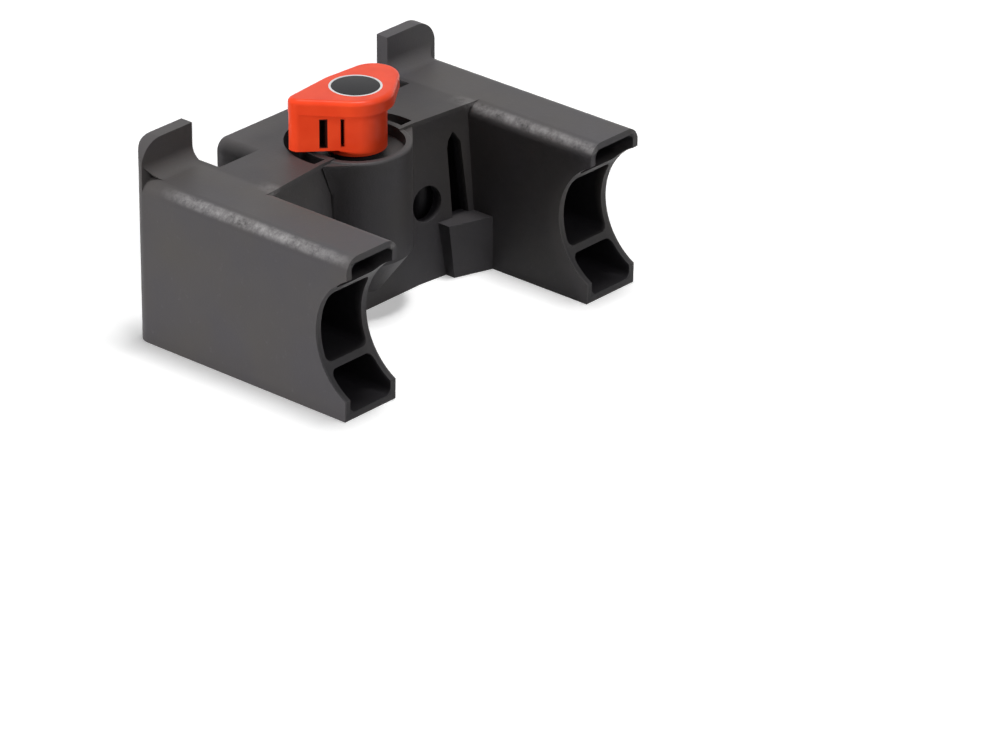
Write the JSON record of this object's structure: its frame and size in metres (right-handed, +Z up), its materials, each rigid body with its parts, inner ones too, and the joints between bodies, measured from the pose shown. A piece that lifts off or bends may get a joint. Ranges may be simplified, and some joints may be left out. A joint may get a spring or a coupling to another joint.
{
  "type": "bicycle handlebar bag mount",
  "caption": "Moulded U-shaped bracket with two saddle arms for a handlebar, hooked ears, a red turning release lever and a sprung latch bolt for a quick-release bag.",
  "frame": {"origin": "in the middle of the flat front face, level with the handlebar's axis, which is 70 mm behind it", "axes": "+X along the handlebar, +Y forward to the bag, +Z up"},
  "size_m": [0.094, 0.0669, 0.051],
  "materials": {
    "bracket_plastic": "fine-grained glass-filled nylon, dark grey",
    "cover_plastic": "fine-grained nylon, black",
    "lever_red": "satin moulded plastic, orange red",
    "badge_black": "gloss lacquer, black",
    "badge_white": "gloss lacquer, white",
    "acetal_black": "smooth acetal, black",
    "bolt_plastic": "smooth glass-filled nylon, black",
    "spring_steel": "drawn wire",
    "zinc_steel": "zinc plated",
    "black_steel": "black oxide"
  },
  "bodies": {
    "bracket": {"bracket_body": "bracket_plastic", "base_cover": "cover_plastic", "bolt_spring": "spring_steel", "cover_screw_1": "zinc_steel", "cover_screw_2": "zinc_steel", "cover_screw_3": "zinc_steel", "cover_screw_4": "zinc_steel", "clamp_screw_left_upper": "black_steel", "clamp_washer_left_upper": "black_steel", "clamp_screw_right_upper": "black_steel", "clamp_washer_right_upper": "black_steel", "clamp_screw_left_lower": "black_steel", "clamp_washer_left_lower": "black_steel", "clamp_screw_right_lower": "black_steel", "clamp_washer_right_lower": "black_steel"},
    "lever": {"release_lever": "lever_red", "lever_badge": "badge_black", "badge_ring": "badge_white", "lever_spindle": "acetal_black", "drive_crank": "acetal_black", "crank_screw": "zinc_steel"},
    "bolt": {"latch_bolt": "bolt_plastic"}
  },
  "joints": [
    {"name": "lever_turn", "type": "hinge", "parent": "bracket", "child": "lever", "pos_m": [0, -0.0224, 0.02], "axis": [0, 0, 1], "range_deg": [0, 45], "stiffness_Nm_per_rad": 0.0071, "springref_deg": -83.08},
    {"name": "bolt_slide", "type": "slide", "parent": "bracket", "child": "bolt", "axis": [0, -1, 0], "range_m": [0, 0.0043], "deforming": ["bolt_spring"]}
  ],
  "couplings": [
    {"joint": "bolt_slide", "follows": "lever_turn", "m_per_rad": 0.0054572}
  ]
}
